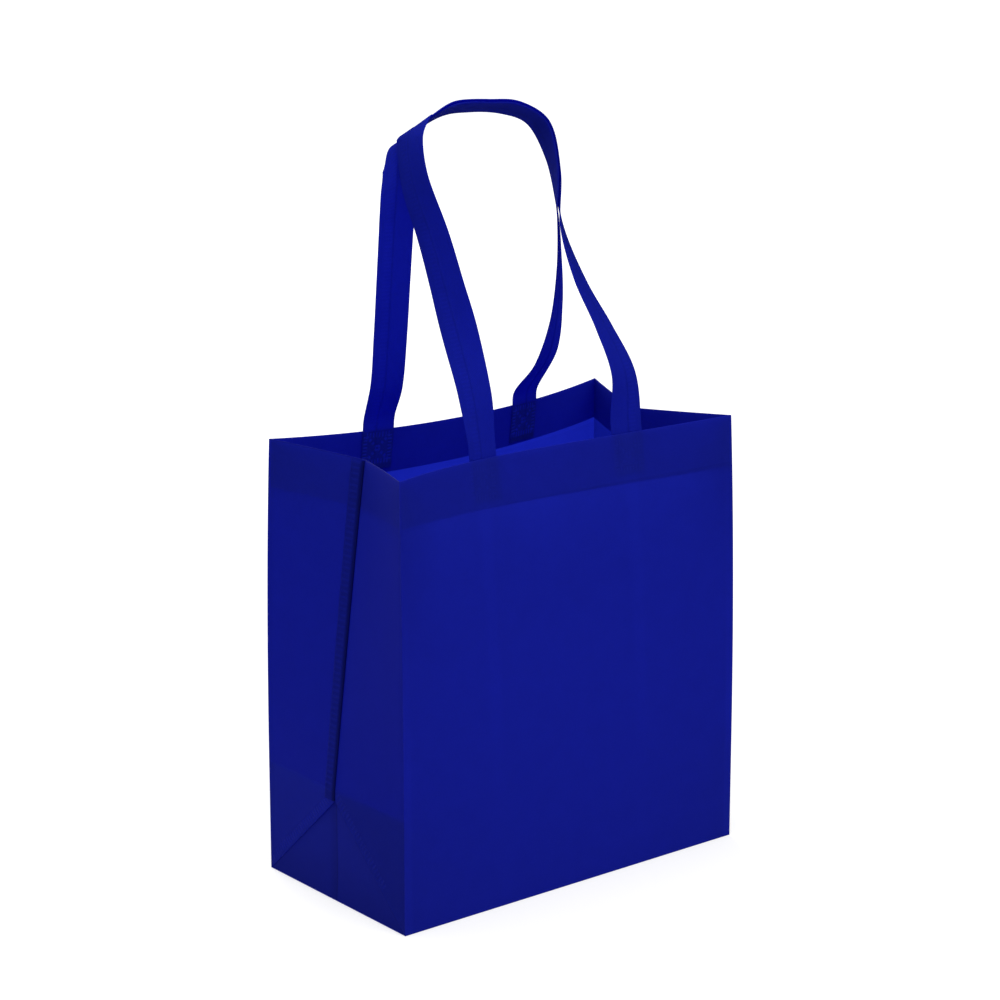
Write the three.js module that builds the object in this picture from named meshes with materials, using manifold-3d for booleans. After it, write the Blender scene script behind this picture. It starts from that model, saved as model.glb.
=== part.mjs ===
import * as THREE from "three";
import { mergeVertices } from "three/addons/utils/BufferGeometryUtils.js";
import Module from "manifold-3d";

// A laminated non-woven carrier bag in millimetres. It stands open on z = 0 with its front towards -Y,
// and its two handle tapes are drawn up together over the middle. The origin is the centre of its base.

// The sheet and the box it is folded into
const bagWidth = 330;
const bagDepth = 175;
const bagHeight = 350;
const sheetThickness = 0.5;
const hemDepth = 38;
const seamWidth = 12;
const cornerLap = 3; // the inner corner layer ends this far above the corner triangle
const cornerFold = 1.5; // the folded edges beside the triangle stop this far from the base corner

// How the open mouth relaxes: at the rim the sides fold in, and the front and back draw in
const sideFoldIn = 30;
const sideBow = 1;
const sideDip = 5;
const panelBow = 24;
const panelDip = 3.7;
const frontSkew = 0.4; // the front draws in more towards its left, as a share
const bowPower = 1.5; // how late up the wall the front and back draw in
const dipPower = 2;

// The handles, each a folded tape welded at both ends to the inside of the hem
const tapeWidth = 27.5;
const tapeThickness = 1.2;
const tapeLapStep = 0.25;
const tapeLapPlace = -2.2; // from the tape's middle line to the edge of its lapped layer
const tapeEdgeRound = 0.4;
const handleSpacing = 140;
const frontFeetOff = { left: 4.5, right: -0.5 }; // how far each end is welded to the right of its place
const backFeetOff = { left: -4.5, right: 0 };
const handleRise = 250;
const handleEndDepth = 32;
const handleLead = 10; // the tape leaves the rim straight for this far
const weldGap = 0.3; // between the tape and the hem it is welded to
const nestGap = 1.1; // between the two tapes where one lies on the other
const nestFrom = 0.56; // shares of the rise between which the two tapes come to lie on each other
const nestTo = 0.8;

// Fineness of the shapes
const panelSteps = 16;
const halfSideSteps = 5;
const footSteps = 4;
const wallSteps = 9;
const hemSteps = 2;
const tapeStepsPerStation = 3;

const cornerHeight = bagDepth / 2; // a corner folded at 45 degrees reaches up half the depth
const cutMargin = 1;
const joinSink = 0.1;
const probe = 0.5; // half the distance over which a surface's direction is read

// The sheet in space: each wall is a curved face, and its points are found from a height up the wall

function bowAt(height) {
  return panelBow * Math.pow(height / bagHeight, bowPower);
}

function dipShare(height) {
  return Math.pow(height / bagHeight, dipPower);
}

// Bowed in, the front and back keep their length, so their corners come a little closer.
function halfWidthAt(height) {
  return bagWidth / 2 - ((2 / 3) * bowAt(height) ** 2) / (bagWidth / 2);
}

function foldInAt(height) {
  const share = (height - cornerHeight) / (bagHeight - cornerHeight);
  return sideFoldIn * Math.max(0, share);
}

// Folded in, each half of a side keeps its length as well.
function halfDepthAt(height) {
  return Math.sqrt((bagDepth / 2) ** 2 - foldInAt(height) ** 2);
}

// The outside of the front (face -1) or back (face 1), with share from -1 at the left to 1 at the right.
function panelPoint(face, share, height) {
  const skew = face < 0 ? 1 - frontSkew * share : 1;
  const rounding = 1 - share * share;
  return new THREE.Vector3(
    halfWidthAt(height) * share,
    face * (halfDepthAt(height) - bowAt(height) * rounding * skew),
    height - panelDip * dipShare(height) * rounding,
  );
}

// The outside of a side (side -1 left, 1 right), half of it (half -1 front, 1 back), with share from 0
// at the middle crease to 1 at the corner.
function sidePoint(side, half, share, height) {
  const foldIn = foldInAt(height);
  const bow = ((sideBow * foldIn) / sideFoldIn) * 4 * share * (1 - share);
  return new THREE.Vector3(
    side * (halfWidthAt(height) - foldIn * (1 - share) - bow),
    half * halfDepthAt(height) * share,
    height - sideDip * dipShare(height) * (1 - share),
  );
}

// Points from the first share up to, but not with, the last one.
function shares(from, to, steps) {
  return Array.from({ length: steps }, (_, i) => from + ((to - from) * i) / steps);
}

// The outside of the whole bag at one height, anticlockwise from above, from the front left corner.
function outsideLoop(height) {
  const halfSide = (side, half, from, to) =>
    shares(from, to, halfSideSteps).map((s) => sidePoint(side, half, s, height));
  return [
    ...shares(-1, 1, panelSteps).map((s) => panelPoint(-1, s, height)),
    ...halfSide(1, -1, 1, 0),
    ...halfSide(1, 1, 0, 1),
    ...shares(1, -1, panelSteps).map((s) => panelPoint(1, s, height)),
    ...halfSide(-1, 1, 1, 0),
    ...halfSide(-1, -1, 0, 1),
  ];
}

// The same loop moved inwards by a thickness, with mitred corners.
function insetLoop(loop, thickness) {
  const inward = (from, to) => new THREE.Vector2(from.y - to.y, to.x - from.x).normalize();
  return loop.map((point, i) => {
    const before = inward(loop.at(i - 1), point);
    const after = inward(point, loop[(i + 1) % loop.length]);
    const move = before.clone().add(after);
    move.multiplyScalar(thickness / (1 + before.dot(after)));
    return new THREE.Vector3(point.x + move.x, point.y + move.y, point.z);
  });
}

// A closed body through a chain of loops, with a fan of faces over its first and its last loop.
function loft(loops) {
  const count = loops[0].length;
  const middle = (loop) =>
    loop.reduce((sum, p) => sum.add(p), new THREE.Vector3()).divideScalar(count);
  const points = [...loops.flat(), middle(loops[0]), middle(loops.at(-1))];
  const first = loops.length * count;
  const last = first + 1;
  const faces = [];
  for (let i = 0; i < count; i++) {
    const next = (i + 1) % count;
    for (let ring = 0; ring + 1 < loops.length; ring++) {
      const low = ring * count;
      const high = low + count;
      faces.push(low + i, low + next, high + next);
      faces.push(low + i, high + next, high + i);
    }
    faces.push(next, i, first);
    faces.push(first - count + i, first - count + next, last);
  }
  const geometry = new THREE.BufferGeometry().setFromPoints(points);
  geometry.setIndex(faces);
  return geometry;
}

// Joining and cutting

const wasm = await Module();
wasm.setup();

function toSolid(geometry) {
  const bare = geometry.clone();
  bare.deleteAttribute("normal");
  bare.deleteAttribute("uv");
  const merged = mergeVertices(bare);
  return new wasm.Manifold(
    new wasm.Mesh({
      numProp: 3,
      vertProperties: merged.attributes.position.array,
      triVerts: new Uint32Array(merged.index.array),
    }),
  );
}

function fromSolid(solid) {
  const mesh = solid.getMesh();
  const geometry = new THREE.BufferGeometry();
  geometry.setAttribute("position", new THREE.BufferAttribute(mesh.vertProperties, 3));
  geometry.setIndex(new THREE.BufferAttribute(mesh.triVerts, 1));
  geometry.computeVertexNormals();
  return geometry;
}

// The walls and base: one sheet, doubled down the inside as a hem at the rim
function makeWalls() {
  const hemEdge = bagHeight - hemDepth;
  const footHeights = shares(0, cornerHeight, footSteps);
  const wallHeights = shares(cornerHeight, hemEdge, wallSteps);
  const hemHeights = [...shares(hemEdge, bagHeight, hemSteps), bagHeight];
  const single = [...footHeights.slice(1), ...wallHeights, hemEdge].map((height) =>
    insetLoop(outsideLoop(height), sheetThickness),
  );
  const floor = insetLoop(outsideLoop(0), sheetThickness);
  floor.forEach((point) => point.setZ(sheetThickness));
  return loft([
    ...[...footHeights, ...wallHeights, ...hemHeights].map(outsideLoop),
    ...hemHeights.map((height) => insetLoop(outsideLoop(height), 2 * sheetThickness)).reverse(),
    ...single.reverse(),
    floor,
  ]);
}

// The welded seam down the middle of a side: both edges of the sheet, laid flat towards the back
function makeSideSeam(side) {
  const heights = [...shares(cornerHeight, bagHeight, wallSteps), bagHeight];
  const stations = [0, 0.5, 1].map((share) => (share * seamWidth) / (bagDepth / 2));
  const away = (share, height, distance) => {
    const ahead = sidePoint(side, 1, share + probe / bagDepth, height);
    const behind = sidePoint(side, 1, share - probe / bagDepth, height);
    const along = ahead.sub(behind).setZ(0).normalize();
    const outward = new THREE.Vector3(side * along.y, -side * along.x, 0);
    return sidePoint(side, 1, share, height).addScaledVector(outward, distance);
  };
  return loft(
    heights.map((height) => {
      const under = stations.map((share) => away(share, height, -sheetThickness / 2));
      const over = stations.map((share) => away(share, height, 2 * sheetThickness));
      const ring = [...under, ...over.reverse()];
      return side < 0 ? ring : ring.reverse();
    }),
  );
}

// The inner layer at the foot of a side, where the corners of the sheet are folded in
function makeCornerLayer(side) {
  const height = cornerHeight + cornerLap - sheetThickness;
  const layer = new THREE.BoxGeometry(
    sheetThickness + joinSink,
    bagDepth - sheetThickness,
    height + joinSink,
  );
  const across = bagWidth / 2 - (3 / 2) * sheetThickness + joinSink / 2;
  layer.translate(side * across, 0, sheetThickness + (height - joinSink) / 2);
  return layer;
}

// The triangle at the foot of a side, one layer lower than the two folded edges that frame it
function makeTriangleCut(side) {
  const halfBase = bagDepth / 2 - cornerFold;
  const outline = new THREE.Shape();
  outline.moveTo(-halfBase - cutMargin, -cutMargin);
  outline.lineTo(halfBase + cutMargin, -cutMargin);
  outline.lineTo(0, halfBase);
  const cut = new THREE.ExtrudeGeometry(outline, {
    depth: sheetThickness + cutMargin,
    bevelEnabled: false,
  });
  const axes = [new THREE.Vector3(0, 1, 0), new THREE.Vector3(0, 0, 1), new THREE.Vector3(1, 0, 0)];
  cut.applyMatrix4(new THREE.Matrix4().makeBasis(...axes));
  const inner = bagWidth / 2 - sheetThickness;
  return cut.translate(side < 0 ? -inner - sheetThickness - cutMargin : inner, 0, 0);
}

function makeBody() {
  let body = toSolid(makeWalls());
  for (const side of [-1, 1]) {
    body = body.add(toSolid(makeCornerLayer(side)));
    body = body.subtract(toSolid(makeTriangleCut(side)));
    body = body.add(toSolid(makeSideSeam(side)));
  }
  return fromSolid(body);
}

// The routes of the tapes from the left foot to the right one. Each station gives its place, across in
// halves of the handle spacing, back in halves of the bag's depth and up in shares of the rise, and then
// the way the tape's width points, as a turn seen from above and an upward tilt in degrees. Where the
// tape folds over at an angle, slant gives how far its far edge runs ahead, as a share of the width.
const crownRoute = [
  { across: -0.52, back: 0.25, up: 0.985, turn: -91, tilt: 28 },
  { across: -0.09, back: 0.24, up: 0.985, turn: -75, tilt: 20 },
  { across: 0.31, back: 0.21, up: 0.97, turn: -89, tilt: 20 },
  { across: 0.64, back: 0.16, up: 0.92, turn: -94, tilt: 9 },
];

const frontRoute = [
  { across: -0.95, back: -0.56, up: 0.17, turn: -17, tilt: -19 },
  { across: -0.97, back: -0.4, up: 0.33, turn: -32, tilt: -5 },
  { across: -1.04, back: -0.28, up: 0.485, turn: -57, tilt: 8 },
  { across: -1.13, back: -0.17, up: 0.645, turn: -66, tilt: 17 },
  { across: -1.23, back: -0.04, up: 0.805, turn: -77, tilt: 34, slant: 0.15 },
  { across: -1.17, back: 0.08, up: 0.915, turn: -77, tilt: 25 },
  { across: -1.07, back: 0.13, up: 0.945, turn: -54, tilt: 35, slant: 0.65 },
  { across: -0.99, back: 0.15, up: 0.95, turn: -73, tilt: 34, slant: 0.25 },
  ...crownRoute,
  { across: 0.8, back: 0.08, up: 0.77, turn: -115, tilt: 7 },
  { across: 0.81, back: -0.01, up: 0.6, turn: -134, tilt: 10 },
  { across: 0.87, back: -0.21, up: 0.44, turn: -150, tilt: 12 },
  { across: 0.95, back: -0.46, up: 0.305, turn: -159, tilt: 8 },
  { across: 1, back: -0.68, up: 0.17, turn: -171, tilt: 1 },
];

const backRoute = [
  { across: -1.09, back: 0.55, up: 0.135, turn: -10, tilt: -11 },
  { across: -1.12, back: 0.45, up: 0.31, turn: -16, tilt: 1 },
  { across: -1.16, back: 0.36, up: 0.475, turn: -16, tilt: -3 },
  { across: -1.2, back: 0.27, up: 0.635, turn: -18, tilt: -1 },
  { across: -1.25, back: 0.16, up: 0.785, turn: -31, tilt: 11, slant: 0.6 },
  { across: -1.21, back: 0.18, up: 0.875, turn: -56, tilt: 7, slant: 1.1 },
  { across: -1.15, back: 0.21, up: 0.915, turn: -67, tilt: 31, slant: 0.7 },
  { across: -1.06, back: 0.22, up: 0.93, turn: -67, tilt: 35, slant: 0.3 },
  ...crownRoute,
  { across: 0.78, back: 0.08, up: 0.8, turn: -110, tilt: 2 },
  { across: 0.82, back: 0.06, up: 0.65, turn: -128, tilt: -5 },
  { across: 0.89, back: 0.1, up: 0.485, turn: -136, tilt: -12 },
  { across: 0.96, back: 0.2, up: 0.315, turn: -151, tilt: -21 },
  { across: 1.01, back: 0.39, up: 0.155, turn: -171, tilt: -17 },
];

function routeStation({ across, back, up, turn, tilt, slant = 0 }) {
  const flat = Math.cos(THREE.MathUtils.degToRad(tilt));
  const angle = THREE.MathUtils.degToRad(turn);
  return {
    place: new THREE.Vector3(
      (across * handleSpacing) / 2,
      (back * bagDepth) / 2,
      bagHeight + up * handleRise,
    ),
    width: new THREE.Vector3(
      flat * Math.cos(angle),
      flat * Math.sin(angle),
      Math.sin(THREE.MathUtils.degToRad(tilt)),
    ),
    slant,
  };
}

// Where the tape's middle lies against the inside of the hem, above or below the rim. foot is -1 for the
// left end and 1 for the right one, where the tape comes down and so its width points the other way.
// off is how far the end is welded to the right of its true place.
function weldStation(face, foot, off, above) {
  const share = ((foot * handleSpacing) / 2 + off) / halfWidthAt(bagHeight);
  const step = probe / bagWidth;
  const height = bagHeight + Math.min(above, 0);
  const across = panelPoint(face, share + step, height);
  across.sub(panelPoint(face, share - step, height)).normalize();
  const upward = panelPoint(face, share, height + probe);
  upward.sub(panelPoint(face, share, height - probe)).normalize();
  const inward = upward.clone().cross(across).multiplyScalar(-face);
  const distance = 2 * sheetThickness + weldGap + tapeThickness / 2;
  const place = panelPoint(face, share, height).addScaledVector(inward, distance);
  place.addScaledVector(upward, Math.max(above, 0));
  return { place, width: across.multiplyScalar(-foot), slant: 0 };
}

// The tape's section: x runs along its width and y towards the face that looks out of the loop.
function tapeSection() {
  const side = tapeWidth / 2;
  const half = tapeThickness / 2;
  const flat = side - tapeEdgeRound;
  const low = half - tapeLapStep;
  return [
    [-side, 0],
    [-flat, half],
    [tapeLapPlace, half],
    [tapeLapPlace, low],
    [flat, low],
    [side, -tapeLapStep / 2],
    [flat, -half],
    [-flat, -half],
  ].map(([x, y]) => new THREE.Vector2(x, y));
}

// nest is 1 where the tape lies outside the other one over the middle, and -1 where it lies inside.
function makeHandle(face, feetOff, route, nest) {
  const depths = [-handleEndDepth, -handleEndDepth / 2, 0, handleLead];
  const stations = [
    ...depths.map((above) => weldStation(face, -1, feetOff.left, above)),
    ...route.map(routeStation),
    ...depths.reverse().map((above) => weldStation(face, 1, feetOff.right, above)),
  ];
  const path = new THREE.CatmullRomCurve3(stations.map((s) => s.place));
  const widths = new THREE.CatmullRomCurve3(stations.map((s) => s.width));
  const section = tapeSection();
  const loops = [];
  for (let step = 0; step <= (stations.length - 1) * tapeStepsPerStation; step++) {
    const at = step / tapeStepsPerStation;
    const t = at / (stations.length - 1);
    const along = path.getTangent(t);
    const width = widths.getPoint(t);
    width.addScaledVector(along, -width.dot(along)).normalize();
    const outward = width.clone().cross(along);
    const before = stations[Math.floor(at)];
    const after = stations[Math.ceil(at)];
    width.addScaledVector(along, THREE.MathUtils.lerp(before.slant, after.slant, at % 1));
    const middle = path.getPoint(t);
    const rise = (middle.z - bagHeight) / handleRise;
    const nested = THREE.MathUtils.smoothstep(rise, nestFrom, nestTo);
    middle.addScaledVector(outward, (nest * nested * (tapeThickness + nestGap)) / 2);
    loops.push(
      section.map((p) =>
        middle.clone().addScaledVector(width, p.x).addScaledVector(outward, p.y),
      ),
    );
  }
  return loft(loops);
}

// Colours and finishes: one blue film-faced sheet, and the same blue without the film on the tapes
const sheetFinish = new THREE.MeshStandardMaterial({
  color: 0x121b86,
  roughness: 0.55,
  metalness: 0,
});
const tapeFinish = new THREE.MeshStandardMaterial({
  color: 0x131b80,
  roughness: 0.8,
  metalness: 0,
});

function piece(name, geometry, finish) {
  const mesh = new THREE.Mesh(geometry, finish);
  mesh.name = name;
  return mesh;
}

const bag = new THREE.Group();
bag.add(piece("bag_body", makeBody(), sheetFinish));
bag.add(piece("front_handle", makeHandle(-1, frontFeetOff, frontRoute, 1), tapeFinish));
bag.add(piece("back_handle", makeHandle(1, backFeetOff, backRoute, -1), tapeFinish));

export default bag;
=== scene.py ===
import math

import bmesh
import bpy
from mathutils import Matrix, Vector


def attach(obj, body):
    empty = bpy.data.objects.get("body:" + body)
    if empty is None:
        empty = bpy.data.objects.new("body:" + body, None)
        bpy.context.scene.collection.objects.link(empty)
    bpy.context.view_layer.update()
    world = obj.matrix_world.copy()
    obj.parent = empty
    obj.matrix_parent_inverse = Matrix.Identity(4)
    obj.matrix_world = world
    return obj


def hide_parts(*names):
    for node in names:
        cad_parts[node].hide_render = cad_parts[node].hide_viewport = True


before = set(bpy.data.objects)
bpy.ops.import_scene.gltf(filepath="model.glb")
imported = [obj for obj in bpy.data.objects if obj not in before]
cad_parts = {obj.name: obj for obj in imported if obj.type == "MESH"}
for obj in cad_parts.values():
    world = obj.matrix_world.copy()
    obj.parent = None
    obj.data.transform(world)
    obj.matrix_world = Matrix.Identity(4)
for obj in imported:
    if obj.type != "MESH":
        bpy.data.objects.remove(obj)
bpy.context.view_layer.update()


# The bag's sheet
# One sheet of spunbond fabric under a matte film is folded into a box with creased sides, and its rim is
# turned in as a hem. The sides fold in towards the rim and the front and back draw in, as on the solids.
width = 0.33
depth = 0.175
height_of_bag = 0.35
sheet_thickness = 0.0005
hem_depth = 0.038
hem_start = height_of_bag - hem_depth
corner_height = depth / 2
fold_peak = corner_height - 0.0055
fold_in_at_rim = 0.03
side_bow = 0.001
side_dip = 0.005
panel_bow = 0.024
panel_dip = 0.0037
front_skew = 0.4
tape_place = 0.07
ridge_place = tape_place + 0.001


def bow_at(height):
    return panel_bow * (height / height_of_bag) ** 1.5


def half_width_at(height):
    """The corners come together by what the bow of the front and the back takes up."""
    return width / 2 - 2 / 3 * bow_at(height) ** 2 / (width / 2)


def fold_in_at(height):
    return fold_in_at_rim * max(0, (height - corner_height) / (height_of_bag - corner_height))


def half_depth_at(height):
    """Each half of a side keeps its width and turns about its corner."""
    return math.sqrt((depth / 2) ** 2 - fold_in_at(height) ** 2)


def panel_point(face, share, height):
    skew = 1 - front_skew * share if face < 0 else 1
    rounding = 1 - share * share
    drop = panel_dip * (height / height_of_bag) ** 2
    return Vector(
        (
            half_width_at(height) * share,
            face * (half_depth_at(height) - bow_at(height) * rounding * skew),
            height - drop * rounding,
        )
    )


def side_point(side, half, share, height):
    fold_in = fold_in_at(height)
    bow = side_bow * fold_in / fold_in_at_rim * 4 * share * (1 - share)
    drop = side_dip * (height / height_of_bag) ** 2
    return Vector(
        (
            side * (half_width_at(height) - fold_in * (1 - share) - bow),
            half * half_depth_at(height) * share,
            height - drop * (1 - share),
        )
    )


# The way round the bag, anticlockwise from the front left corner, in six stretches. Each has the number of
# its steps, its surface, its first and last share, and where a share of 1 lies across the flat face.
panel_steps = 66
half_side_steps = 28
stretches = [
    ("front", panel_steps, (panel_point, -1), -1, 1, width / 2),
    ("side", half_side_steps, (side_point, 1, -1), 1, 0, -depth / 2),
    ("side", half_side_steps, (side_point, 1, 1), 0, 1, depth / 2),
    ("back", panel_steps, (panel_point, 1), 1, -1, width / 2),
    ("side", half_side_steps, (side_point, -1, 1), 1, 0, depth / 2),
    ("side", half_side_steps, (side_point, -1, -1), 0, 1, -depth / 2),
]
columns = []
for kind, steps, surface, first_share, last_share, face_edge in stretches:
    for step in range(steps):
        share = first_share + (last_share - first_share) * step / steps
        columns.append(((*surface, share), kind, share * face_edge))


def pull_ridge(across, height):
    """How far a front or back stands out below the tapes' ends, which pull the sheet into soft ridges."""
    ridge_height = 0.0011
    ridge_width = 0.008
    ridge_foot = 0.04
    top_length = 0.012
    below_hem = min(max((hem_start - height) / top_length, 0), 1)
    above_foot = min(max((height - ridge_foot) / (hem_start - ridge_foot), 0), 1)
    from_ridge = abs(abs(across) - ridge_place) / ridge_width
    return ridge_height * below_hem * above_foot * math.exp(-(from_ridge**2))


def row_at(heights):
    """The outside all the way round, with one height for each column."""
    row = []
    for ((surface, *place), kind, across), height in zip(columns, heights):
        point = surface(*place, height)
        if kind != "side":
            point.y += place[0] * pull_ridge(across, height)
        row.append(point)
    return row


def outside_row(height_at):
    """The same, where height_at gives a column's height from its face and its place across it."""
    return row_at([height_at(kind, across) for _, kind, across in columns])


def hem_edge_at(index):
    """The hem was turned in by eye, a little deeper at some corners than at others."""
    (surface, *place), _, _ = columns[index]
    foot = surface(*place, 0)
    right, back = foot.x / (width / 2), foot.y / (depth / 2)
    middle_rise = 0.0011
    back_rise = 0.0014
    corner_rise = 0.0024
    return hem_start + middle_rise + back_rise * back + corner_rise * right * back


def inset_row(row, thickness):
    """A row moved inwards by a thickness, with mitred corners."""
    moved = []
    for index, point in enumerate(row):
        before = (point - row[index - 1]).xy.normalized()
        after = (row[(index + 1) % len(row)] - point).xy.normalized()
        move = (Vector((-before.y, before.x)) + Vector((-after.y, after.x))) * thickness
        move = move / (1 + before.dot(after))
        moved.append(point + move.to_3d())
    return moved


def sheet_rows():
    """Rows of points from the foot up the outside, over the rim and down inside, each with its height
    on the flat sheet."""
    lower_steps = 70
    hem_steps = 10
    rim_steps = 6
    rim_start = height_of_bag - sheet_thickness
    hem_edges = [hem_edge_at(index) for index in range(len(columns))]

    def foot(kind, across):
        return fold_peak * max(0, 1 - abs(across) / corner_height) if kind == "side" else 0

    def up_from_foot(share):
        return lambda kind, across: foot(kind, across) + (hem_start - foot(kind, across)) * share

    def level(height):
        return lambda kind, across: height

    lip = inset_row(outside_row(foot), sheet_thickness * 0.9)
    rows = [(lip, foot)]
    for step in range(lower_steps):
        height_at = up_from_foot(step / lower_steps)
        rows.append((outside_row(height_at), height_at))
    for step in range(hem_steps):
        height = hem_start + (rim_start - hem_start) * step / hem_steps
        rows.append((outside_row(level(height)), level(height)))
    for step in range(rim_steps + 1):
        angle = math.pi * step / rim_steps
        height = rim_start + sheet_thickness * math.sin(angle)
        row = inset_row(outside_row(level(height)), sheet_thickness * (1 - math.cos(angle)))
        rows.append((row, level(rim_start + sheet_thickness * angle)))
    for step in range(1, hem_steps + 1):
        share = step / hem_steps
        heights = [rim_start + (hem_edge - rim_start) * share for hem_edge in hem_edges]
        row = inset_row(row_at(heights), sheet_thickness * 2)
        rows.append((row, level(2 * height_of_bag - rim_start - (hem_start - rim_start) * share)))
    cut_edge = inset_row(row_at(hem_edges), sheet_thickness)
    rows.append((cut_edge, level(height_of_bag + hem_depth)))
    return rows


# A patch is a grid that is bent into place: place and flat take the numbers of a column and a row of its
# corners, and give the point in space and the point on the flat sheet, both in metres.
def add_patch(mesh, across, along, place, flat, material=0):
    made = bmesh.ops.create_grid(mesh, x_segments=across, y_segments=along, size=0.5)
    uv = mesh.loops.layers.uv.verify()
    steps = {}
    for vertex in made["verts"]:
        steps[vertex] = (round((vertex.co.x + 0.5) * across), round((vertex.co.y + 0.5) * along))
    for face in {face for vertex in steps for face in vertex.link_faces}:
        face.material_index = material
        for corner in face.loops:
            corner[uv].uv = flat(*steps[corner.vert])
    for vertex, (column, row) in steps.items():
        vertex.co = place(column, row)


def finished(name, mesh, materials, sharp_angle=40):
    bmesh.ops.recalc_face_normals(mesh, faces=mesh.faces)
    data = bpy.data.meshes.new(name)
    mesh.to_mesh(data)
    mesh.free()
    data.shade_smooth()
    data.set_sharp_from_angle(angle=math.radians(sharp_angle))
    for material in materials:
        data.materials.append(material)
    piece = bpy.data.objects.new(name, data)
    bpy.context.collection.objects.link(piece)
    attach(piece, "root")
    return piece


# Each of these adds one node and joins its inputs, which are numbers or the outputs of other nodes.
def add_node(tree, kind, inputs=(), **settings):
    node = tree.nodes.new(kind)
    for name, value in settings.items():
        setattr(node, name, value)
    for key, value in dict(inputs).items():
        if isinstance(value, bpy.types.NodeSocket):
            tree.links.new(value, node.inputs[key])
        else:
            node.inputs[key].default_value = value
    return node


def calculate(tree, operation, *values):
    node = add_node(tree, "ShaderNodeMath", enumerate(values), operation=operation)
    return node.outputs[0]


def soft_step(tree, value, low, high, first, last):
    """first where value is under low, last where it is over high, and a smooth change between."""
    inputs = {"Value": value, "From Min": low, "From Max": high, "To Min": first, "To Max": last}
    node = add_node(tree, "ShaderNodeMapRange", inputs, interpolation_type="SMOOTHSTEP")
    return node.outputs[0]


def new_group(name, inputs, outputs):
    group = bpy.data.node_groups.new(name, "ShaderNodeTree")
    for label, kind, value in inputs:
        socket = group.interface.new_socket(label, in_out="INPUT", socket_type="NodeSocket" + kind)
        if value is not None:
            socket.default_value = value
    for label, kind in outputs:
        group.interface.new_socket(label, in_out="OUTPUT", socket_type="NodeSocket" + kind)
    start = group.nodes.new("NodeGroupInput")
    end = group.nodes.new("NodeGroupOutput")
    return group, start.outputs, end.inputs


def use_group(tree, group, inputs):
    return add_node(tree, "ShaderNodeGroup", inputs, node_tree=group).outputs


def turned(tree, place, angle):
    inputs = {"Vector": place, "Angle": angle}
    return add_node(tree, "ShaderNodeVectorRotate", inputs, rotation_type="Z_AXIS").outputs[0]


def flat_parts(tree, place):
    """How far across and how far up a point of the flat sheet lies."""
    parts = add_node(tree, "ShaderNodeSeparateXYZ", {0: place})
    return parts.outputs["X"], parts.outputs["Y"]


def distance_from(tree, value, middle):
    return calculate(tree, "ABSOLUTE", calculate(tree, "SUBTRACT", value, middle))


# The mark of an ultrasonic weld: one row of short dashes, which lie across its line. Place is a point on
# the flat sheet in metres, and Angle is the line's direction from the flat sheet's first axis.
def make_weld_row():
    group, given, result = new_group(
        "Weld row",
        [
            ("Place", "Vector", None),
            ("Start", "Vector", None),
            ("Angle", "Float", 0.0),
            ("Length", "Float", 0.1),
            ("Dash length", "Float", 0.005),
            ("Dash width", "Float", 0.0014),
            ("Pitch", "Float", 0.0035),
        ],
        [("Mask", "Float")],
    )
    soft_edge = 0.0003
    inputs = {0: given["Place"], 1: given["Start"]}
    offset = add_node(group, "ShaderNodeVectorMath", inputs, operation="SUBTRACT")
    back = calculate(group, "MULTIPLY", given["Angle"], -1.0)
    along, across = flat_parts(group, turned(group, offset.outputs[0], back))

    def half(name):
        return calculate(group, "MULTIPLY", given[name], 0.5)

    def within(value, half_width):
        low = calculate(group, "SUBTRACT", half_width, soft_edge)
        high = calculate(group, "ADD", half_width, soft_edge)
        return soft_step(group, value, low, high, 1.0, 0.0)

    from_line = calculate(group, "ABSOLUTE", across)
    half_length = half("Length")
    from_middle = distance_from(group, along, half_length)
    half_pitch = half("Pitch")
    to_dash = calculate(group, "SUBTRACT", half_pitch, calculate(group, "PINGPONG", along, half_pitch))
    on_line = within(from_line, half("Dash length"))
    in_row = calculate(group, "MULTIPLY", on_line, within(from_middle, half_length))
    mask = calculate(group, "MULTIPLY", in_row, within(to_dash, half("Dash width")))
    group.links.new(mask, result["Mask"])
    return group


weld_row = make_weld_row()


def strongest(tree, masks):
    total = masks[0]
    for mask in masks[1:]:
        total = calculate(tree, "MAXIMUM", total, mask)
    return total


def weld_line(tree, place, start, degrees, length, dash_length, dash_width, dashes):
    """One row with the given number of dashes."""
    inputs = {
        "Place": place,
        "Start": (*start, 0),
        "Angle": math.radians(degrees),
        "Length": length,
        "Dash length": dash_length,
        "Dash width": dash_width,
        "Pitch": length / dashes,
    }
    return use_group(tree, weld_row, inputs)["Mask"]


def crossed_square(tree, place, middle, side):
    """The weld that holds a tape's end: a square of dashes and two diagonals of dots."""
    left, right = middle[0] - side / 2, middle[0] + side / 2
    low, high = middle[1] - side / 2, middle[1] + side / 2
    diagonal = side * math.sqrt(2)
    level_dash = (0.0044, 0.0012)
    upright_dash = (0.0036, 0.0012)
    dot = (0.0026, 0.0023)
    rows = [
        ((left, low), 0, side, *level_dash),
        ((left, high), 0, side, *level_dash),
        ((left, low), 90, side, *upright_dash),
        ((right, low), 90, side, *upright_dash),
        ((left, low), 45, diagonal, *dot),
        ((left, high), -45, diagonal, *dot),
    ]
    return strongest(tree, [weld_line(tree, place, *row, dashes=8) for row in rows])


def within_square(tree, place, middle, side, outside, inside):
    """inside within a square of the flat sheet, outside around it."""
    soft_edge = 0.0006
    across, up = flat_parts(tree, place)
    from_middle = [distance_from(tree, across, middle[0]), distance_from(tree, up, middle[1])]
    furthest = strongest(tree, from_middle)
    return soft_step(tree, furthest, side / 2 - soft_edge, side / 2 + soft_edge, inside, outside)


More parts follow.
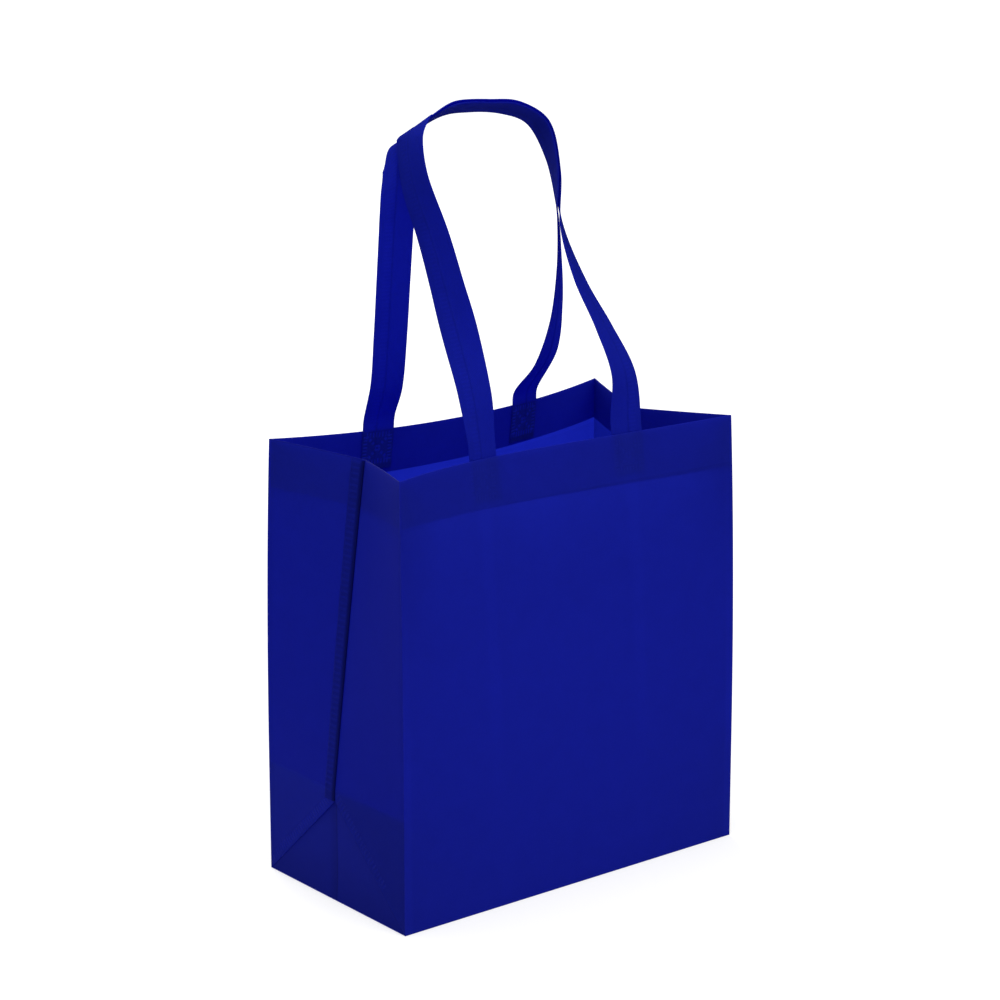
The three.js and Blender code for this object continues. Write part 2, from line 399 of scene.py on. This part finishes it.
# Spunbond fabric: fine fibres lie every way, held by a grid of pressed points. Tone is near 1 and varies
# the colour, and Height is the relief in shares of the sheet's own.
def make_spunbond():
    group, given, result = new_group(
        "Spunbond",
        [("Place", "Vector", None), ("Point spacing", "Float", 0.0011), ("Fibre size", "Float", 0.0006)],
        [("Tone", "Float"), ("Height", "Float")],
    )

    def noise(inputs):
        inputs = {"Vector": given["Place"], **inputs}
        return add_node(group, "ShaderNodeTexNoise", inputs, noise_dimensions="2D").outputs["Fac"]

    def uneven(value, spread):
        """A factor that varies by the spread on both sides of 1."""
        inputs = {"Value": value, "From Min": 0.3, "From Max": 0.7}
        inputs |= {"To Min": 1 - spread, "To Max": 1 + spread}
        return add_node(group, "ShaderNodeMapRange", inputs).outputs[0]

    points = add_node(
        group,
        "ShaderNodeTexVoronoi",
        {
            "Vector": turned(group, given["Place"], math.radians(45)),
            "Scale": calculate(group, "DIVIDE", 1.0, given["Point spacing"]),
            "Randomness": 0.12,
        },
        voronoi_dimensions="2D",
    )
    between_points = soft_step(group, points.outputs["Distance"], 0.18, 0.38, 0.0, 1.0)
    fibre_scale = calculate(group, "DIVIDE", 1.0, given["Fibre size"])
    fibres = noise({"Scale": fibre_scale, "Detail": 3.0, "Distortion": 1.6})
    clouds = noise({"Scale": 55.0, "Detail": 4.0, "Roughness": 0.6})
    tone = calculate(group, "MULTIPLY", uneven(clouds, 0.02), uneven(fibres, 0.05))
    height = calculate(group, "MULTIPLY_ADD", fibres, 0.6, between_points)
    group.links.new(tone, result["Tone"])
    group.links.new(height, result["Height"])
    return group


spunbond = make_spunbond()


def scaled_color(tree, color, factor):
    vector = add_node(tree, "ShaderNodeVectorMath", {0: color, "Scale": factor}, operation="SCALE")
    return vector.outputs[0]


def new_material(name):
    material = bpy.data.materials.new(name)
    material.use_nodes = True
    material.node_tree.nodes.clear()
    return material, material.node_tree


def finish_material(tree, color, surface, relief, tone, light_through):
    """Both fabrics send back their own colour and let a share of the light through in a purer blue."""
    normal = add_node(tree, "ShaderNodeBump", relief).outputs[0]
    inputs = {"Base Color": scaled_color(tree, color, tone), "Normal": normal, **surface}
    sent_back = add_node(tree, "ShaderNodeBsdfPrincipled", inputs)
    inputs = {"Color": scaled_color(tree, (0.015, 0.033, 0.900), tone), "Normal": normal}
    passed = add_node(tree, "ShaderNodeBsdfTranslucent", inputs)
    inputs = {0: light_through, 1: sent_back.outputs[0], 2: passed.outputs[0]}
    mixed = add_node(tree, "ShaderNodeMixShader", inputs)
    add_node(tree, "ShaderNodeOutputMaterial", {"Surface": mixed.outputs[0]})


# A matte film lies over the fabric, so its relief is soft, and a single layer lets much light through.
# shade(tree, place) gives a factor on the colour, and marks(tree, place) the weld mask.
def laminated_sheet(name, shade, marks=None, mark_tone=0.16, light_through=0.28):
    material, tree = new_material(name)
    place = add_node(tree, "ShaderNodeUVMap").outputs[0]
    fabric = use_group(tree, spunbond, {"Place": place, "Point spacing": 0.0012, "Fibre size": 0.0009})
    tone = calculate(tree, "MULTIPLY", fabric["Tone"], shade(tree, place))
    height = calculate(tree, "MULTIPLY", fabric["Height"], 0.35)
    if marks:
        mask = marks(tree, place)
        lighter = calculate(tree, "MULTIPLY_ADD", mask, mark_tone, 1.0)
        tone = calculate(tree, "MULTIPLY", tone, lighter)
        height = calculate(tree, "MULTIPLY_ADD", mask, -3.0, height)
    film = {"Roughness": 0.6, "Specular IOR Level": 0.015}
    relief = {"Height": height, "Distance": 0.0001, "Strength": 0.8}
    finish_material(tree, (0.0070, 0.0125, 0.230), film, relief, tone, light_through)
    return material


def product(tree, factors):
    total = factors[0]
    for factor in factors[1:]:
        total = calculate(tree, "MULTIPLY", total, factor)
    return total


# A front or back is lighter in a band along each corner fold, and a painted highlight runs down
# the soft ridge below each tape's end. Below the hem, painted shade grows towards the hem, so the single
# layer is lighter low down. A side is darker along its rim's fold and a little lighter in its hem than
# below it. It has painted shade next to its corners and low down, and painted light where its foot is
# doubled, for the light the second layer stops.
def panel_shade(tree, place):
    across, up = flat_parts(tree, place)
    from_middle = calculate(tree, "ABSOLUTE", across)
    fold = soft_step(tree, from_middle, width / 2 - 0.009, width / 2 - 0.005, 0.0, 1.0)
    fold_strength = soft_step(tree, up, 0.1, 0.3, 0.075, 0.02)
    # Painted highlight down the soft ridge below each tape's end.
    pull = soft_step(tree, distance_from(tree, from_middle, ridge_place), 0.002, 0.009, 0.04, 0.0)
    ridge_highlight_strength = soft_step(tree, up, 0.06, 0.2, 0.2, 1.0)
    lighter = calculate(tree, "MULTIPLY_ADD", fold, fold_strength, 1.0)
    lighter = calculate(tree, "MULTIPLY_ADD", pull, ridge_highlight_strength, lighter)
    # Painted shade grows from low down, where the colour is lighter, up to the hem's edge; the hem has
    # none.
    below_hem = soft_step(tree, up, hem_start - 0.12, hem_start, 1.05, 0.93)
    in_hem = soft_step(tree, up, hem_start - 0.001, hem_start + 0.001, 0.0, 1.0)
    return calculate(tree, "MULTIPLY", lighter, calculate(tree, "MAXIMUM", below_hem, in_hem))


def side_shade(tree, place):
    across, up = flat_parts(tree, place)
    rim = soft_step(tree, distance_from(tree, up, height_of_bag), 0.0003, 0.0012, 0.75, 1.0)
    from_middle = calculate(tree, "ABSOLUTE", across)
    # Painted shade next to each corner.
    fold = soft_step(tree, from_middle, depth / 2 - 0.008, depth / 2 - 0.001, 1.0, 0.95)
    in_foot = soft_step(tree, up, corner_height + 0.0022, corner_height + 0.0038, 1.0, 0.0)
    # Painted light where the foot is doubled, more on the back half than on the front half.
    painted_foot_light = soft_step(tree, across, -0.002, 0.002, 0.08, 0.28)
    foot = calculate(tree, "MULTIPLY_ADD", painted_foot_light, in_foot, 1.0)
    # Painted shade low down, near the floor.
    low = soft_step(tree, up, 0.0, 0.1, 0.94, 1.0)
    hem = soft_step(tree, up, hem_start - 0.002, hem_start + 0.002, 0.965, 1.03)
    return product(tree, [rim, fold, foot, low, hem])


# Each tape's end shows through its hem as a faint crossed square, and both folded edges over a corner
# triangle are held by a row of dashes.
tape_end_middle = height_of_bag - 0.0175
weld_side = 0.022


def panel_marks(tree, place):
    middles = [(side * tape_place, tape_end_middle) for side in (-1, 1)]
    squares = [crossed_square(tree, place, middle, weld_side) for middle in middles]
    return calculate(tree, "MULTIPLY", strongest(tree, squares), 0.3)


def side_marks(tree, place):
    off_middle = 0.00165
    start_height = fold_peak + 0.00605
    slope = math.degrees(math.atan2(fold_peak, corner_height))
    dash = {"dash_length": 0.006, "dash_width": 0.0017}
    front_start = (-off_middle, start_height)
    front = weld_line(tree, place, front_start, slope - 180, length=0.084, dashes=24, **dash)
    back_start = (off_middle, start_height)
    back = weld_line(tree, place, back_start, -slope, length=0.115, dashes=33, **dash)
    return calculate(tree, "MULTIPLY", strongest(tree, [front, back]), 0.8)


def add_stretch(mesh, rows, first_column, stretch):
    kind, steps, _, first_share, last_share, face_edge = stretch

    def place(column, row):
        return rows[row][0][(first_column + column) % len(columns)]

    def flat(column, row):
        across = (first_share + (last_share - first_share) * column / steps) * face_edge
        return across, rows[row][1](kind, across)

    add_patch(mesh, steps, len(rows) - 1, place, flat, material=1 if kind == "side" else 0)


def add_base(mesh):
    """The base, which the fold round its edge closes."""
    across_steps = 20
    along_steps = 10
    base_height = 0.0003

    def flat(column, row):
        return (column / across_steps - 0.5) * width, (row / along_steps - 0.5) * depth

    def place(column, row):
        return Vector((*flat(column, row), base_height))

    add_patch(mesh, across_steps, along_steps, place, flat)


def make_sheet():
    rows = sheet_rows()
    mesh = bmesh.new()
    first_column = 0
    for stretch in stretches:
        add_stretch(mesh, rows, first_column, stretch)
        first_column += stretch[1]
    add_base(mesh)
    bmesh.ops.remove_doubles(mesh, verts=mesh.verts, dist=1e-6)
    panels = laminated_sheet("sheet_panels", panel_shade, panel_marks)
    sides = laminated_sheet("sheet_sides", side_shade, side_marks)
    piece = finished("bag_sheet", mesh, [panels, sides])
    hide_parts("bag_body")
    return piece


bag_sheet = make_sheet()


# The corner layers
# At the foot of each side the corners of the sheet are folded in behind its surface: outside they show
# as the triangle below the two folded edges, creased down its middle, and inside they end just above it.
def corner_shade(tree, place):
    across, up = flat_parts(tree, place)
    from_crease = calculate(tree, "ABSOLUTE", across)
    # Painted shade: darker in the middle crease, beside it on the back half and towards the bottom, and a
    # tenth darker all over.
    crease = soft_step(tree, from_crease, 0.0, 0.0012, 0.8, 1.0)
    shade_beside_crease = soft_step(tree, across, 0.0008, 0.012, 0.84, 1.0)
    front_half = soft_step(tree, across, -0.0006, 0.0006, 1.0, 0.0)
    shade_beside_crease = calculate(tree, "MAXIMUM", shade_beside_crease, front_half)
    low = soft_step(tree, up, 0.0, 0.05, 0.86, 1.0)
    return product(tree, [crease, shade_beside_crease, low, 0.9])


def make_corner_layer(side, material):
    mesh = bmesh.new()
    top = corner_height + 0.003
    valley = 0.0012
    foot = 0.0004
    steps = 40
    rows = 20
    widest = depth / 2 - 0.0002

    def place(column, row):
        share = 2 * column / steps - 1
        sunk = valley * (1 - abs(share)) ** 2 * min(row / 4, 1)
        across = side * (width / 2 - sheet_thickness * 0.9 - sunk)
        return Vector((across, share * widest, foot + (top - foot) * row / rows))

    def flat(column, row):
        return (column / steps - 0.5) * depth, top * row / rows

    add_patch(mesh, steps, rows, place, flat)
    name = "corner_layer_left" if side < 0 else "corner_layer_right"
    return finished(name, mesh, [material])


corner_material = laminated_sheet("sheet_corner", corner_shade, light_through=0.1)
corner_layers = [make_corner_layer(side, corner_material) for side in (-1, 1)]


# The side seams
# Both edges of the sheet stand out along the middle crease and are laid flat towards the back, welded
# by one row of level dashes from the corner triangle up to the rim.
seam_width = 0.012


def seam_marks(tree, place):
    start = (seam_width * 0.6, corner_height)
    dash = {"dash_length": 0.0076, "dash_width": 0.0019}
    return weld_line(tree, place, start, degrees=90, length=0.262, dashes=57, **dash)


def seam_shade(tree, place):
    across, _ = flat_parts(tree, place)
    # Painted shade: the whole strip is darker, and much darker towards the crease, a painted shadow of the
    # gap between it and the front half of the side. It is a little lighter at its free edge.
    inner = soft_step(tree, across, 0.0006, 0.0046, 0.38, 0.84)
    outer = soft_step(tree, across, seam_width - 0.002, seam_width, 1.0, 1.06)
    return calculate(tree, "MULTIPLY", inner, outer)


def make_side_seam(side, material):
    """A strip whose section rises from its welded edge, runs level and drops at its free edge."""
    thick = 0.00105
    round_off = 0.0006
    level_width = seam_width - 2 * round_off
    outline = [(0.0, 0.0), (-0.0001, thick * 0.6), (0.0002, thick * 0.95)]
    outline += [(round_off + level_width * step / 10, thick) for step in range(11)]
    outline += [(seam_width - 0.0001, thick * 0.8), (seam_width, 0.0)]
    steps = 60
    top = height_of_bag - 0.0006
    mesh = bmesh.new()

    def place(column, row):
        across, proud = outline[column]
        height = fold_peak + (top - fold_peak) * row / steps
        share = across / (depth / 2)
        here = side_point(side, 1, share, height)
        ahead = side_point(side, 1, share + 0.01, height)
        along = (ahead - here).xy.normalized()
        return here + Vector((side * along.y, -side * along.x, 0)) * proud

    def flat(column, row):
        return outline[column][0], fold_peak + (top - fold_peak) * row / steps

    add_patch(mesh, len(outline) - 1, steps, place, flat)
    name = "side_seam_left" if side < 0 else "side_seam_right"
    return finished(name, mesh, [material], sharp_angle=75)


seam_material = laminated_sheet("sheet_seam", seam_shade, seam_marks, mark_tone=0.13)
side_seams = [make_side_seam(side, seam_material) for side in (-1, 1)]


# The tapes
# Each is a strip of plain fabric folded over twice into a flat band, so one face has the edge of its
# lapped layer along it, held by a ladder of welded dashes. A crossed square of dashes holds each end.
handle_rise = 0.25
tape_width = 0.0275
tape_thickness = 0.0012
lap_place = -0.0022
end_depth = 0.032

# Each station gives its place, across as a share of tape_place, back in halves of the bag's depth and up
# in shares of the rise, then the turn and tilt of the tape's width in degrees, and the slant of a fold as
# a share of the width. All are the same as the solids'.
crown_route = [
    (-0.52, 0.25, 0.985, -91, 28, 0),
    (-0.09, 0.24, 0.985, -75, 20, 0),
    (0.31, 0.21, 0.97, -89, 20, 0),
    (0.64, 0.16, 0.92, -94, 9, 0),
]
front_route = [
    (-0.95, -0.56, 0.17, -17, -19, 0),
    (-0.97, -0.4, 0.33, -32, -5, 0),
    (-1.04, -0.28, 0.485, -57, 8, 0),
    (-1.13, -0.17, 0.645, -66, 17, 0),
    (-1.23, -0.04, 0.805, -77, 34, 0.15),
    (-1.17, 0.08, 0.915, -77, 25, 0),
    (-1.07, 0.13, 0.945, -54, 35, 0.65),
    (-0.99, 0.15, 0.95, -73, 34, 0.25),
    *crown_route,
    (0.8, 0.08, 0.77, -115, 7, 0),
    (0.81, -0.01, 0.6, -134, 10, 0),
    (0.87, -0.21, 0.44, -150, 12, 0),
    (0.95, -0.46, 0.305, -159, 8, 0),
    (1, -0.68, 0.17, -171, 1, 0),
]
back_route = [
    (-1.09, 0.55, 0.135, -10, -11, 0),
    (-1.12, 0.45, 0.31, -16, 1, 0),
    (-1.16, 0.36, 0.475, -16, -3, 0),
    (-1.2, 0.27, 0.635, -18, -1, 0),
    (-1.25, 0.16, 0.785, -31, 11, 0.6),
    (-1.21, 0.18, 0.875, -56, 7, 1.1),
    (-1.15, 0.21, 0.915, -67, 31, 0.7),
    (-1.06, 0.22, 0.93, -67, 35, 0.3),
    *crown_route,
    (0.78, 0.08, 0.8, -110, 2, 0),
    (0.82, 0.06, 0.65, -128, -5, 0),
    (0.89, 0.1, 0.485, -136, -12, 0),
    (0.96, 0.2, 0.315, -151, -21, 0),
    (1.01, 0.39, 0.155, -171, -17, 0),
]


def route_station(across, back, up, turn, tilt, slant):
    turn, tilt = math.radians(turn), math.radians(tilt)
    place = Vector((across * tape_place, back * depth / 2, height_of_bag + up * handle_rise))
    way = Vector((math.cos(tilt) * math.cos(turn), math.cos(tilt) * math.sin(turn), math.sin(tilt)))
    return place, way, slant


def weld_station(face, foot, off, above):
    """The tape's middle against the inside of the hem; foot is -1 at the left end and 1 at the right."""
    weld_gap = 0.0003
    probe = 0.0005
    share = (foot * tape_place + off) / half_width_at(height_of_bag)
    step = probe / width
    height = height_of_bag + min(above, 0)
    across = panel_point(face, share + step, height) - panel_point(face, share - step, height)
    across.normalize()
    up = panel_point(face, share, height + probe) - panel_point(face, share, height - probe)
    up.normalize()
    inward = up.cross(across) * -face
    depth_inside = 2 * sheet_thickness + weld_gap + tape_thickness / 2
    place = panel_point(face, share, height) + inward * depth_inside + up * max(above, 0)
    return place, across * -foot, 0


def curve_point(points, progress):
    """A smooth curve through the points, spaced by the square root of their distances."""
    spans = len(points) - 1
    at = min(int(progress * spans), spans - 1)
    share = progress * spans - at
    before = points[at - 1] if at > 0 else 2 * points[0] - points[1]
    start, end = points[at], points[at + 1]
    after = points[at + 2] if at + 2 <= spans else 2 * points[-1] - points[-2]
    pairs = ((before, start), (start, end), (end, after))
    gaps = [max((there - here).length, 1e-8) ** 0.5 for here, there in pairs]
    leave = (start - before) / gaps[0] - (end - before) / (gaps[0] + gaps[1]) + (end - start) / gaps[1]
    arrive = (end - start) / gaps[1] - (after - start) / (gaps[1] + gaps[2]) + (after - end) / gaps[2]
    leave, arrive = leave * gaps[1], arrive * gaps[1]
    return (
        start
        + leave * share
        + (3 * end - 3 * start - 2 * leave - arrive) * share**2
        + (2 * start - 2 * end + leave + arrive) * share**3
    )


def tape_profile():
    """Points round the section: across the width, and out towards the face with the lap."""
    side = tape_width / 2
    half = tape_thickness / 2
    round_off = 0.0008
    level_edge = side - round_off
    lap_step = 0.00025
    low = half - lap_step
    below_lap = lap_place + 0.0006
    rising = [step / 5 for step in range(6)]
    falling = rising[::-1]

    def rounded(edge, height, shares):
        """A quarter round, from the middle of the edge at 0 to the face at 1."""
        points = []
        for share in shares:
            angle = math.pi / 2 * share
            points.append((edge * (side - round_off * (1 - math.cos(angle))), height * math.sin(angle)))
        return points

    def level(start, end, height, steps):
        return [(start + (end - start) * step / steps, height) for step in range(1, steps + 1)]

    return (
        rounded(-1, half, rising)
        + level(-level_edge, lap_place, half, 6)
        + [(lap_place + lap_step, low)]
        + level(below_lap, level_edge, low, 6)
        + rounded(1, low, falling[1:])
        + rounded(1, -half, rising[1:])
        + level(level_edge, -level_edge, -half, 10)
        + rounded(-1, -half, falling[1:-1])
    )


def tape_fabric():
    material, tree = new_material("tape_fabric")
    place = add_node(tree, "ShaderNodeUVMap").outputs[0]
    fabric = use_group(tree, spunbond, {"Place": place, "Point spacing": 0.0011, "Fibre size": 0.0006})
    start = (lap_place - 0.0036, end_depth)
    dash = {"dash_length": 0.0062, "dash_width": 0.0015}
    ladder = weld_line(tree, place, start, degrees=90, length=0.64, dashes=200, **dash)
    faint_ladder = calculate(tree, "MULTIPLY", ladder, 0.16)
    middle = (0, end_depth / 2 + 0.0015)
    weld = strongest(tree, [faint_ladder, crossed_square(tree, place, middle, weld_side)])
    lighter = calculate(tree, "MULTIPLY_ADD", weld, 0.4, 1.0)
    pressed = within_square(tree, place, middle, tape_width - 0.002, 1.0, 1.18)
    across, _ = flat_parts(tree, place)
    lap_line = soft_step(tree, distance_from(tree, across, lap_place + 0.0004), 0.0002, 0.0012, 0.92, 1.0)
    over_lap = soft_step(tree, across, lap_place, lap_place + 0.0008, 0.97, 1.0)
    tone = product(tree, [fabric["Tone"], lap_line, over_lap, pressed, lighter])
    height = calculate(tree, "MULTIPLY_ADD", weld, -2.5, fabric["Height"])
    cloth = {"Roughness": 0.9, "Specular IOR Level": 0.01}
    relief = {"Height": height, "Distance": 0.00012, "Strength": 0.9}
    finish_material(tree, (0.0075, 0.0140, 0.24), cloth, relief, tone, 0.36)
    return material


def nested_share(height):
    """0 where a tape runs by itself, and 1 near the top, where the two lie on each other."""
    apart_until = 0.56
    change_length = 0.24
    share_up = (height - height_of_bag) / handle_rise
    share = min(max((share_up - apart_until) / change_length, 0), 1)
    return share * share * (3 - 2 * share)


def make_tape(name, node, face, feet_off, route, nest, material):
    """nest is 1 for the outer of the two tapes along the top and -1 for the inner one, and feet_off is how
    far the left and the right end lie off tape_place."""
    rings_per_station = 14
    nest_gap = 0.0011
    nudge = 0.0001
    depths = [-end_depth, -end_depth / 2, 0, 0.01]
    stations = [
        *[weld_station(face, -1, feet_off[0], above) for above in depths],
        *[route_station(*station) for station in route],
        *[weld_station(face, 1, feet_off[1], above) for above in reversed(depths)],
    ]
    places = [station[0] for station in stations]
    ways = [station[1] for station in stations]
    spans = len(stations) - 1
    rings = spans * rings_per_station
    profile = tape_profile()
    middles = []
    frames = []
    for ring in range(rings + 1):
        progress = ring / rings
        ahead = curve_point(places, min(progress + nudge, 1))
        behind = curve_point(places, max(progress - nudge, 0))
        along = (ahead - behind).normalized()
        way = curve_point(ways, progress)
        way = (way - along * way.dot(along)).normalized()
        out = way.cross(along)
        at = min(ring // rings_per_station, spans - 1)
        share = ring / rings_per_station - at
        slant = stations[at][2] * (1 - share) + stations[at + 1][2] * share
        middle = curve_point(places, progress)
        nested = nested_share(middle.z)
        middles.append(middle + out * (nest * nested * (tape_thickness + nest_gap) / 2))
        frames.append((way + along * slant, out))
    lengths = [0]
    for here, there in zip(middles, middles[1:]):
        lengths.append(lengths[-1] + (there - here).length)

    def place(column, row):
        across, proud = profile[column % len(profile)]
        way, out = frames[row]
        return middles[row] + way * across + out * proud

    def flat(column, row):
        across, _ = profile[column % len(profile)]
        return across, min(lengths[row], lengths[-1] - lengths[row])

    mesh = bmesh.new()
    add_patch(mesh, len(profile), rings, place, flat)
    bmesh.ops.remove_doubles(mesh, verts=mesh.verts, dist=1e-7)
    open_edges = [edge for edge in mesh.edges if edge.is_boundary]
    bmesh.ops.holes_fill(mesh, edges=open_edges)
    piece = finished(name, mesh, [material], sharp_angle=50)
    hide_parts(node)


fabric_of_tapes = tape_fabric()
make_tape("front_tape", "front_handle", -1, (0.0045, -0.0005), front_route, 1, fabric_of_tapes)
make_tape("back_tape", "back_handle", 1, (-0.0045, 0), back_route, -1, fabric_of_tapes)


# The studio
# A white surround lights the bag from all sides and a broad lamp from above, one from the front right
# lifts the front over the side, one behind shines through the back, and the bag stands on a pale floor.
def add_lamp(name, place, target, size, energy):
    lamp = bpy.data.lights.new(name, "AREA")
    lamp.shape = "SQUARE"
    lamp.size = size
    lamp.energy = energy
    holder = bpy.data.objects.new(name, lamp)
    holder.location = place
    holder.rotation_mode = "QUATERNION"
    holder.rotation_quaternion = (Vector(target) - Vector(place)).to_track_quat("-Z", "Y")
    bpy.context.collection.objects.link(holder)


def seen_and_lit(tree, kind, seen_strength, lit_strength):
    """A white glow with one strength for the camera and another for all that it lights."""
    path = add_node(tree, "ShaderNodeLightPath")
    lit, seen = (
        add_node(tree, kind, {"Color": (1, 1, 1, 1), "Strength": strength})
        for strength in (lit_strength, seen_strength)
    )
    inputs = {0: path.outputs["Is Camera Ray"], 1: lit.outputs[0], 2: seen.outputs[0]}
    return add_node(tree, "ShaderNodeMixShader", inputs).outputs[0]


def make_studio():
    world = bpy.data.worlds.new("surround")
    world.use_nodes = True
    tree = world.node_tree
    tree.nodes.clear()
    glow = seen_and_lit(tree, "ShaderNodeBackground", seen_strength=1.05, lit_strength=0.43)
    add_node(tree, "ShaderNodeOutputWorld", {"Surface": glow})
    bpy.context.scene.world = world
    add_lamp("soft_lamp", (0.6, -3.2, 2.2), target=(0, 0, 0.25), size=2.5, energy=34)
    add_lamp("back_lamp", (0.3, 2.8, 1.4), target=(0, 0, 0.3), size=2.2, energy=66)
    add_lamp("top_lamp", (-0.5, -0.5, 3.0), target=(0, 0, 0.3), size=3.0, energy=86)


def make_floor():
    mesh = bmesh.new()
    bmesh.ops.create_grid(mesh, x_segments=8, y_segments=8, size=12)
    bmesh.ops.translate(mesh, verts=mesh.verts, vec=(0, 0, -0.0003))
    data = bpy.data.meshes.new("floor")
    mesh.to_mesh(data)
    mesh.free()
    floor = bpy.data.objects.new("floor", data)
    bpy.context.collection.objects.link(floor)
    material, tree = new_material("floor")
    paper = add_node(tree, "ShaderNodeBsdfDiffuse", {"Color": (0.5, 0.5, 0.5, 1)})
    place = add_node(tree, "ShaderNodeTexCoord").outputs["Object"]
    from_bag = add_node(tree, "ShaderNodeVectorMath", {0: place}, operation="LENGTH").outputs["Value"]
    # The glow the camera sees is painted, and weaker near the bag, so that the paper's own shadow shows
    # there.
    seen = soft_step(tree, from_bag, 0.3, 4.0, 0.5, 0.88)
    glow = seen_and_lit(tree, "ShaderNodeEmission", seen_strength=seen, lit_strength=0.12)
    both = add_node(tree, "ShaderNodeAddShader", {0: paper.outputs[0], 1: glow})
    add_node(tree, "ShaderNodeOutputMaterial", {"Surface": both.outputs[0]})
    data.materials.append(material)


make_studio()
make_floor()


# The camera of the photograph
# It stands to the left of the front and a little above the rim, and its lens was fitted to the corners
# of the box, with the film 36 mm wide.
turn = math.radians(-38.8)
rise = math.radians(15.35)
distance = 2.4471
aim_across = -0.0028
aim_up = 0.1121
away = Vector((math.sin(turn) * math.cos(rise), -math.cos(turn) * math.cos(rise), math.sin(rise)))
rightward = Vector((math.cos(turn), math.sin(turn), 0))
upward = away.cross(rightward)
aim = Vector((0, 0, height_of_bag / 2)) + rightward * aim_across + upward * aim_up
camera = bpy.data.objects.new("camera", bpy.data.cameras.new("camera"))
camera.data.lens = 112.1
camera.data.sensor_width = 36
camera.data.clip_end = 50
camera.matrix_world = Matrix.Translation(aim + away * distance) @ Matrix(
    (rightward, upward, away)
).transposed().to_4x4()
bpy.context.collection.objects.link(camera)
bpy.context.scene.camera = camera
bpy.context.scene.view_settings.view_transform = "Standard"
